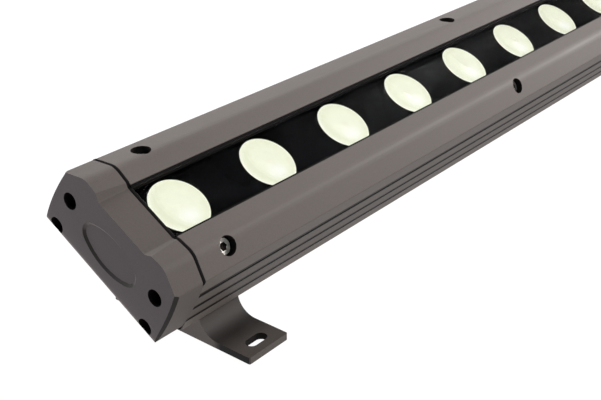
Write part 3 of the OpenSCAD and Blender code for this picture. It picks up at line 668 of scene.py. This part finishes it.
# ---- End caps ---------------------------------------------------------------
# Die-cast caps in the same coat, with a cooler tint painted on their end faces as cool reflected
# light.
# Painted shade darkens the bevels along the outer corners and blackens the four screw bores.
cap_bores = [(0.0265, -0.0095), (0.0284, -0.0275)]
cap_bore_reach = 0.00372
cap_face_x = 0.50075
bevel_facing_x = 0.41
bevel_facing_y = 0.912
bevel_match = 0.96
bevel_start_x = 0.4985
# Painted cool reflected light: a cooler tint multiplied into the coat on faces that look along
# the bar.
painted_end_face_cool_light = (0.96, 0.96, 1.1, 1)
painted_dish_light_and_shade = [
    # painted light on faces that look down the bar's height, none on the dish floor, painted
    # shade on those that look up
    (0.0, (1.9, 1.85, 1.8)), (0.3, (1.5, 1.48, 1.45)), (0.45, (1.0, 1.0, 1.0)),
    (0.55, (1.0, 1.0, 1.0)), (0.7, (0.4, 0.38, 0.38)), (1.0, (0.25, 0.24, 0.24)),
]


def cast_coat(name):
    coat = powder_coat(
        name, (0.0595, 0.0505, 0.04619), (0.0739, 0.06318, 0.05788), 0.54, 0.68)
    facing = own_place(coat, "Normal")
    facing_split = add_step(coat, "ShaderNodeSeparateXYZ", {0: facing})
    facing_end = add_step(coat, "ShaderNodeMath", {0: facing_split.outputs["X"]})
    facing_end.operation = "ABSOLUTE"
    endwards = facing_end.outputs["Value"]
    on_end_face = spread(coat, endwards, 0, 1, start=0.8, end=0.97)
    tone_coat(coat, on_end_face, painted_end_face_cool_light)
    # Painted light on down-facing and painted shade on up-facing faces of the end faces and dish
    # walls.
    upwards = spread(coat, measure_up_the_bar(coat, facing), 0, 1, start=-0.5, end=0.5)
    off_top = spread(coat, endwards, 0, 1, start=0.35, end=0.55)
    tone_coat(coat, off_top, tone_ramp(coat, upwards, painted_dish_light_and_shade))
    return coat


def in_cap_bore(centre, normal):
    return abs(centre.x) < cap_face_x and any(
        math.hypot(abs(centre.y) - across, centre.z - above) < cap_bore_reach
        for across, above in cap_bores
    )


def on_cap_bevel(centre, normal):
    facing = abs(normal.x) * bevel_facing_x + abs(normal.y) * bevel_facing_y
    return facing > bevel_match and abs(centre.x) > bevel_start_x


# Painted shade: the bevels along the outer corners are coloured near black.
painted_bevel_shade = powder_coat(
    "painted_bevel_shade", (0.011, 0.0095, 0.009), (0.017, 0.015, 0.014), 0.5, 0.65, shine=0.1)
cast_bronze = cast_coat("cast_bronze_coat")
for name in ("end_cap_left", "end_cap_right"):
    dress(node[name], cast_bronze)
    paint_faces(node[name], painted_recess_shadow, in_cap_bore)
    paint_faces(node[name], painted_bevel_shade, on_cap_bevel)
    soften(node[name], width=0.0004, angle=18)


# ---- Cap screws -------------------------------------------------------------
# Black oxide socket screws hold each cap in the screw bosses of the extrusion.
# They sit so deep in their bores that the holes look black.
black_oxide = turned_steel(
    "black_oxide_steel", (0.008, 0.008, 0.009), (0.02, 0.019, 0.018), 0.4, 0.6)
for name in ("cap_screws_left", "cap_screws_right"):
    dress(node[name], black_oxide)


# ---- Cable gland ------------------------------------------------------------
# A black nylon gland in the far end cap: body and dome nut, with a rubber seal in between.
# A steel lock nut holds it from inside the cap.
nylon = fine_plastic(
    "black_nylon", (0.009, 0.009, 0.01), (0.018, 0.018, 0.019), 0.35, 0.55,
    patch=200, grain=1800)
for name in ("gland_body", "gland_nut"):
    dress(node[name], nylon)
    soften(node[name], width=0.0003, angle=35, segments=2)
dress(node["gland_seal"], silicone)
dress(node["gland_lock_nut"], steel)


# ---- Hinge blocks, their screws and nuts ------------------------------------
# Each aluminium block wears the bar's own coat and carries the two ears of a hinge.
# Two countersunk steel screws hold it to square nuts in the slot under the bar.
for name in ("hinge_block_left", "hinge_block_right"):
    dress(node[name], bronze)
    soften(node[name], width=0.0003)
for name in ("block_screws", "slot_nuts"):
    dress(node[name], steel)


# ---- Brackets ---------------------------------------------------------------
# Extruded aluminium feet, cut to 24 mm, with a hollow sweep up to the sloped stop. The coat is
# the bar's own, a shade darker and rougher, with painted shadow in the hollow under the bar and
# in the slots, and painted light and shade on the cut ends.
bracket_x = 0.4595
bracket_end_from = 0.0115
cut_square = 0.9
hollow_centre = (0, -0.022, 0.0075)
hollow_stretch = (0, 62, 62)
cut_end_dark_y = -0.0255
cut_end_light_y = -0.0195
slot_y = 0.034
slot_half_straight = 0.0029
slot_reach = 0.00277
foot_skin = 0.0002
foot_top = 0.004

bracket_coat = powder_coat(
    "bracket_powder_coat", (0.0538, 0.0459, 0.0413), (0.0672, 0.058, 0.0529), 0.52, 0.68)
# Painted shadow: the coat darkens towards the middle of the hollow under the bar.
hollow_shadow_reach = reach_from(bracket_coat, hollow_centre, hollow_stretch)
painted_hollow_shadow = [(0.0, grey(0.08)), (1.0, grey(1))]
tone_coat(bracket_coat, 1, tone_ramp(bracket_coat, hollow_shadow_reach, painted_hollow_shadow, slope="EASE"))

# Painted light and shade: a lighter copy of the coat on the cut ends, darker towards the front of
# the foot.
bracket_end = powder_coat(
    "bracket_end_painted_light_and_shade", (0.0608, 0.052, 0.0482), (0.0759, 0.0656, 0.0615), 0.52, 0.68)
end_split = add_step(bracket_end, "ShaderNodeSeparateXYZ", {0: own_place(bracket_end)})
cut_end_painted_shade = spread(
    bracket_end, end_split.outputs["Y"], 0.05, 1.1,
    start=cut_end_dark_y, end=cut_end_light_y, slope="SMOOTHSTEP")
tone_coat(bracket_end, 1, cut_end_painted_shade)


def on_bracket_end(centre, normal):
    return abs(normal.x) > cut_square and abs(abs(centre.x) - bracket_x) > bracket_end_from


def in_slot(centre, normal):
    place = bar_place @ centre
    along = max(abs(abs(place.x) - bracket_x) - slot_half_straight, 0)
    in_reach = math.hypot(along, abs(place.y) - slot_y) < slot_reach
    return in_reach and foot_skin < place.z < foot_top


for name in ("bracket_left", "bracket_right"):
    dress(node[name], bracket_coat)
    paint_faces(node[name], painted_recess_shadow, in_slot)
    paint_faces(node[name], bracket_end, on_bracket_end)
    soften(node[name], width=0.0004)


# ---- Hinge bolts ------------------------------------------------------------
# A 5 mm socket bolt of stainless steel, two washers and a lock nut make each hinge.
# The nut is tightened until the hinge holds the bar at any tilt.
for name in ("hinge_bolts", "hinge_washers", "hinge_nuts"):
    dress(node[name], steel)
    soften(node[name], width=0.0003, angle=35, segments=2)
